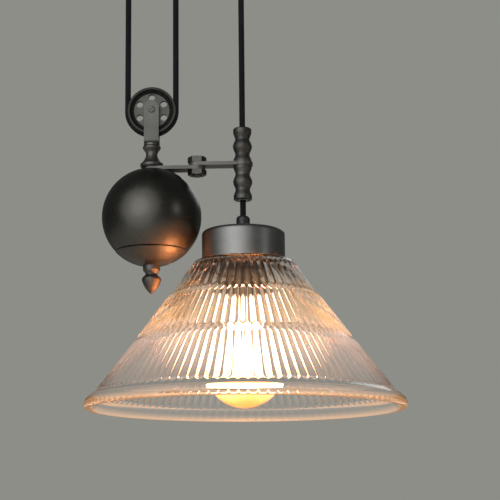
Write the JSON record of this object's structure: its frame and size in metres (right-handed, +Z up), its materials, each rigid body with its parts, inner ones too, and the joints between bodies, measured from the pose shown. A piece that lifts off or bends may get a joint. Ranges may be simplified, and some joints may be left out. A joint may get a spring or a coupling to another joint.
{
  "type": "rise and fall pendant",
  "caption": "Rise and fall pendant: ribbed glass cone shade on a flex that runs over a ceiling pulley and under the wheel of a ball counterweight with a jointed guide arm.",
  "frame": {"origin": "middle of the canopy, on the ceiling face", "axes": "+Z up, +X from the anchored flex towards the lamp, -Y the side seen in the picture"},
  "size_m": [0.3244, 0.3244, 0.6087],
  "materials": {
    "bright_steel": "satin",
    "gunmetal": "satin",
    "pewter_strip": "satin",
    "cast_ball": "satin",
    "bronze": "satin",
    "brass": "satin",
    "black_plastic": "satin",
    "terminal_plastic": "matte",
    "holder_plastic": "satin",
    "cap_metal": "satin",
    "shade_glass": "polished",
    "bulb_glass": "polished",
    "filament": "gloss",
    "flex": "matte"
  },
  "bodies": {
    "ceiling": {"ceiling_bracket": "bright_steel", "canopy": "gunmetal", "canopy_screws": "gunmetal", "terminal_block": "terminal_plastic", "terminal_screws": "brass", "anchor_grip": "black_plastic", "anchor_grip_nut": "bright_steel", "upper_stem": "gunmetal", "upper_stem_nut": "bright_steel", "upper_stem_bolt": "bright_steel", "upper_yoke": "pewter_strip", "upper_axle": "pewter_strip", "upper_axle_nut": "bright_steel", "upper_spacers": "pewter_strip", "cord_fixed_strand": "flex", "cord_middle_strand": "flex", "cord_upper_wrap": "flex", "cord_lamp_strand": "flex"},
    "upper_pulley": {"upper_wheel": "gunmetal", "upper_wheel_bush": "bronze"},
    "counterweight": {"lower_yoke": "pewter_strip", "lower_axle": "pewter_strip", "lower_axle_nut": "bright_steel", "lower_spacers": "pewter_strip", "lower_stem": "gunmetal", "tie_bolt": "gunmetal", "inner_bar": "gunmetal", "ball_body": "cast_ball", "ball_cap": "gunmetal", "trim_weights": "bright_steel", "trim_nut": "bright_steel", "finial": "gunmetal", "elbow_bolt": "gunmetal", "elbow_nut": "gunmetal", "cord_lower_wrap": "flex"},
    "lower_pulley": {"lower_wheel": "gunmetal", "lower_wheel_bush": "bronze"},
    "guide": {"outer_bar": "gunmetal", "guide_upper": "gunmetal", "guide_lower": "gunmetal", "guide_liner": "terminal_plastic"},
    "lamp": {"cord_gland": "black_plastic", "gland_nut": "bright_steel", "cup": "gunmetal", "lampholder": "holder_plastic", "screw_shell": "brass", "centre_contact": "brass", "shade_ring": "black_plastic", "glass_shade": "shade_glass", "bulb_glass": "bulb_glass", "bulb_cap": "cap_metal", "bulb_mount": "bulb_glass", "filament": "filament", "cord_lamp_tail": "flex"}
  },
  "joints": [
    {"name": "counterweight_slide", "type": "slide", "parent": "ceiling", "child": "counterweight", "axis": [0, 0, 1], "range_m": [-0.002, 0.12], "deforming": ["cord_fixed_strand", "cord_middle_strand", "cord_lamp_strand"]},
    {"name": "upper_wheel_spin", "type": "hinge", "parent": "ceiling", "child": "upper_pulley", "pos_m": [0.04253, 0, -0.09815], "axis": [0, 1, 0], "range_deg": [-7.11, 397.35]},
    {"name": "lower_wheel_spin", "type": "hinge", "parent": "counterweight", "child": "lower_pulley", "pos_m": [-0.01733, 0, -0.29615], "axis": [0, 1, 0], "range_deg": [-273.34, 5.05]},
    {"name": "elbow_hinge", "type": "hinge", "parent": "counterweight", "child": "guide", "pos_m": [0.02993, 0, -0.35675], "axis": [0, 0, 1], "range_deg": [-8, 8]},
    {"name": "lamp_slide", "type": "slide", "parent": "guide", "child": "lamp", "axis": [0, 0, 1], "range_m": [-0.3605, 0.0065], "deforming": ["cord_lamp_tail"]}
  ],
  "couplings": [
    {"joint": "upper_wheel_spin", "follows": "counterweight_slide", "rad_per_m": 57.72},
    {"joint": "lower_wheel_spin", "follows": "counterweight_slide", "rad_per_m": -39.682},
    {"joint": "lamp_slide", "follows": "counterweight_slide", "ratio": -3}
  ]
}
